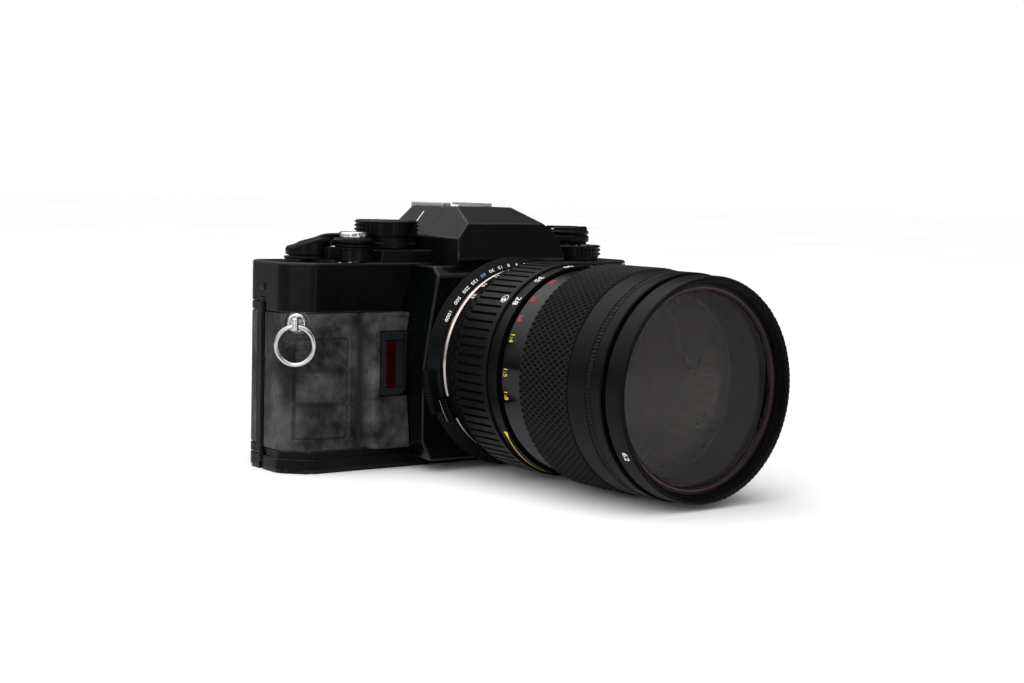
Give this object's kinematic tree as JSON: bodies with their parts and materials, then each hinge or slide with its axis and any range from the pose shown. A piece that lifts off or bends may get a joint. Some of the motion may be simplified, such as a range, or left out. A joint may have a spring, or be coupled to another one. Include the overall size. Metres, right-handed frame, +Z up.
{
  "type": "film slr camera",
  "caption": "35 mm film single-lens reflex camera in black with a macro zoom lens, screw-in filter, opening film door, working top controls, mirror and strap rings.",
  "frame": {"origin": "bottom centre of the bounding box, on the plane the camera stands on", "axes": "+Z up; the lens looks along -Y; +X runs from the grip to the rewind side, the longest extent; Z is the shortest extent"},
  "size_m": [0.1444, 0.1412, 0.0845],
  "materials": {
    "satin_black": "satin moulded black",
    "gloss_black": "gloss black lacquer",
    "matt_black": "matt black",
    "lens_black": "satin black anodised metal",
    "grip_rubber": "worn grey-black moulded rubber",
    "lens_rubber": "black moulded rubber",
    "chrome": "polished",
    "steel": "brushed",
    "brass": "machined",
    "casting": "die-cast, dull",
    "red_window": "translucent red",
    "filter_glass": "tinted, coated",
    "coated_glass": "coated optical glass",
    "clear_glass": "clear optical glass",
    "silvered": "front-silvered",
    "shutter_cloth": "black rubberised cloth"
  },
  "bodies": {
    "camera_body": {"body_casting": "casting", "front_housing": "gloss_black", "top_cover": "satin_black", "bottom_cover": "satin_black", "tripod_bush": "steel", "battery_cap": "satin_black", "battery_cells": "steel", "grip_rubber": "grip_rubber", "front_rubber": "grip_rubber", "led_bezel": "matt_black", "led_window": "red_window", "strap_lug_left": "chrome", "strap_lug_right": "chrome", "door_hinge_pin": "steel", "focusing_screen": "clear_glass", "pentaprism": "clear_glass", "shutter_curtain": "shutter_cloth", "eyepiece_frame": "matt_black", "eyepiece_glass": "clear_glass", "hot_shoe": "steel", "shoe_contact": "brass", "lens_mount_flange": "chrome"},
    "door": {"film_door": "satin_black", "door_rubber": "grip_rubber", "film_window": "clear_glass", "pressure_plate": "matt_black", "pressure_spring": "steel"},
    "ring_left": {"split_ring_left": "chrome"},
    "ring_right": {"split_ring_right": "chrome"},
    "lever": {"advance_lever": "satin_black"},
    "spool": {"take_up_spool": "matt_black"},
    "sprocket_drum": {"sprocket": "steel"},
    "release": {"shutter_button": "chrome"},
    "power_switch": {"power_lever": "satin_black"},
    "speed_dial": {"film_speed_dial": "satin_black"},
    "mode_selector": {"mode_ring": "satin_black"},
    "rewind_column": {"rewind_shaft": "steel"},
    "rewind_top": {"rewind_knob": "satin_black", "rewind_fork": "steel"},
    "crank": {"rewind_crank": "steel"},
    "mirror": {"reflex_mirror": "silvered"},
    "rewind_release": {"rewind_release_button": "steel"},
    "speed_ring": {"shutter_speed_ring": "gloss_black"},
    "lens": {"lens_base": "chrome", "rear_element": "clear_glass", "lens_barrel": "lens_black", "distance_scale_tube": "gloss_black"},
    "lens_catch": {"lens_release_button": "satin_black"},
    "preview_catch": {"depth_preview_button": "satin_black"},
    "aperture": {"aperture_ring": "lens_black"},
    "iris": {"iris_diaphragm": "matt_black"},
    "zoom": {"zoom_scale_ring": "lens_black", "zoom_grip_rubber": "lens_rubber"},
    "variator": {"zoom_element": "coated_glass"},
    "helicoid": {"helicoid_sleeve": "brass"},
    "focus": {"front_barrel": "lens_black", "focus_grip_rubber": "lens_rubber", "front_element": "coated_glass", "filter_ring": "lens_black", "filter_glass": "filter_glass"}
  },
  "joints": [
    {"name": "door_hinge", "type": "hinge", "parent": "camera_body", "child": "door", "pos_m": [-0.06935, 0.0549, 0.028], "axis": [0, 0, 1], "range_deg": [0, 110]},
    {"name": "ring_left_swing", "type": "hinge", "parent": "camera_body", "child": "ring_left", "pos_m": [-0.06716, 0.03877, 0.0459], "axis": [0.7541, -0.6568, 0], "range_deg": [-140, 0]},
    {"name": "ring_right_swing", "type": "hinge", "parent": "camera_body", "child": "ring_right", "pos_m": [0.06716, 0.03877, 0.0459], "axis": [0.7541, 0.6568, 0], "range_deg": [-140, 0]},
    {"name": "advance_turn", "type": "hinge", "parent": "camera_body", "child": "lever", "pos_m": [-0.05485, 0.0528, 0.07], "axis": [0, 0, 1], "range_deg": [0, 130], "stiffness_Nm_per_rad": 0.01, "springref_deg": -17.19},
    {"name": "spool_turn", "type": "hinge", "parent": "camera_body", "child": "spool", "pos_m": [-0.05485, 0.0528, 0.034], "axis": [0, 0, 1], "range_deg": [0, 287]},
    {"name": "sprocket_turn", "type": "hinge", "parent": "camera_body", "child": "sprocket_drum", "pos_m": [-0.03235, 0.0567, 0.034], "axis": [0, 0, 1], "range_deg": [0, 361]},
    {"name": "shutter_release", "type": "slide", "parent": "camera_body", "child": "release", "axis": [0, 0, -1], "range_m": [0, 0.0015], "stiffness_N_per_m": 400, "springref_m": -0.001},
    {"name": "power_turn", "type": "hinge", "parent": "camera_body", "child": "power_switch", "pos_m": [-0.04395, 0.0433, 0.07], "axis": [0, 0, 1], "range_deg": [0, 50]},
    {"name": "film_speed_turn", "type": "hinge", "parent": "camera_body", "child": "speed_dial", "pos_m": [-0.02715, 0.0505, 0.075], "axis": [0, 0, 1], "range_deg": [-150, 150]},
    {"name": "mode_turn", "type": "hinge", "parent": "camera_body", "child": "mode_selector", "pos_m": [0.04715, 0.0505, 0.068], "axis": [0, 0, 1], "range_deg": [-60, 30]},
    {"name": "rewind_pull", "type": "slide", "parent": "camera_body", "child": "rewind_column", "axis": [0, 0, 1], "range_m": [0, 0.006]},
    {"name": "rewind_turn", "type": "hinge", "parent": "rewind_column", "child": "rewind_top", "pos_m": [0.04715, 0.0505, 0.074], "axis": [0, 0, 1], "continuous": true},
    {"name": "crank_flip", "type": "hinge", "parent": "rewind_top", "child": "crank", "pos_m": [0.04175, 0.0505, 0.076], "axis": [0, -1, 0], "range_deg": [0, 165]},
    {"name": "mirror_flip", "type": "hinge", "parent": "camera_body", "child": "mirror", "pos_m": [0.00365, 0.0555, 0.05], "axis": [-1, 0, 0], "range_deg": [0, 45], "stiffness_Nm_per_rad": 0.002, "springref_deg": -28.65},
    {"name": "rewind_release_push", "type": "slide", "parent": "camera_body", "child": "rewind_release", "axis": [0, 0, 1], "range_m": [0, 0.002], "stiffness_N_per_m": 200, "springref_m": -0.001},
    {"name": "shutter_speed_turn", "type": "hinge", "parent": "camera_body", "child": "speed_ring", "pos_m": [0.00365, 0.0205, 0.0342], "axis": [0, -1, 0], "range_deg": [-58, 39]},
    {"name": "lens_bayonet", "type": "hinge", "parent": "camera_body", "child": "lens", "pos_m": [0.00365, 0.0175, 0.0342], "axis": [0, -1, 0], "range_deg": [0, 70]},
    {"name": "lens_release_push", "type": "slide", "parent": "lens", "child": "lens_catch", "axis": [0.8988, 0, 0.4384], "range_m": [0, 0.0016], "stiffness_N_per_m": 300, "springref_m": -0.001},
    {"name": "depth_preview_push", "type": "slide", "parent": "lens", "child": "preview_catch", "axis": [-0.8988, 0, 0.4384], "range_m": [0, 0.0016], "stiffness_N_per_m": 300, "springref_m": -0.001},
    {"name": "aperture_turn", "type": "hinge", "parent": "lens", "child": "aperture", "pos_m": [0.00365, 0.0125, 0.0342], "axis": [0, -1, 0], "range_deg": [-30, 30]},
    {"name": "iris_turn", "type": "hinge", "parent": "lens", "child": "iris", "pos_m": [0.00365, 0.0085, 0.0342], "axis": [0, -1, 0], "range_deg": [-31, 31]},
    {"name": "zoom_turn", "type": "hinge", "parent": "lens", "child": "zoom", "pos_m": [0.00365, -0.0015, 0.0342], "axis": [0, -1, 0], "range_deg": [-30, 30]},
    {"name": "zoom_shift", "type": "slide", "parent": "lens", "child": "variator", "axis": [0, -1, 0], "range_m": [-0.0042, 0.0042]},
    {"name": "helicoid_shift", "type": "slide", "parent": "lens", "child": "helicoid", "axis": [0, -1, 0], "range_m": [-0.0085, 0.0028]},
    {"name": "focus_turn", "type": "hinge", "parent": "helicoid", "child": "focus", "pos_m": [0.00365, -0.0365, 0.0342], "axis": [0, -1, 0], "range_deg": [-150, 50]}
  ],
  "couplings": [
    {"joint": "spool_turn", "follows": "advance_turn", "ratio": 2.2},
    {"joint": "sprocket_turn", "follows": "advance_turn", "ratio": 2.7692},
    {"joint": "iris_turn", "follows": "aperture_turn", "ratio": 1},
    {"joint": "zoom_shift", "follows": "zoom_turn", "m_per_rad": 0.0076},
    {"joint": "focus_turn", "follows": "helicoid_shift", "rad_per_m": 307.98}
  ]
}
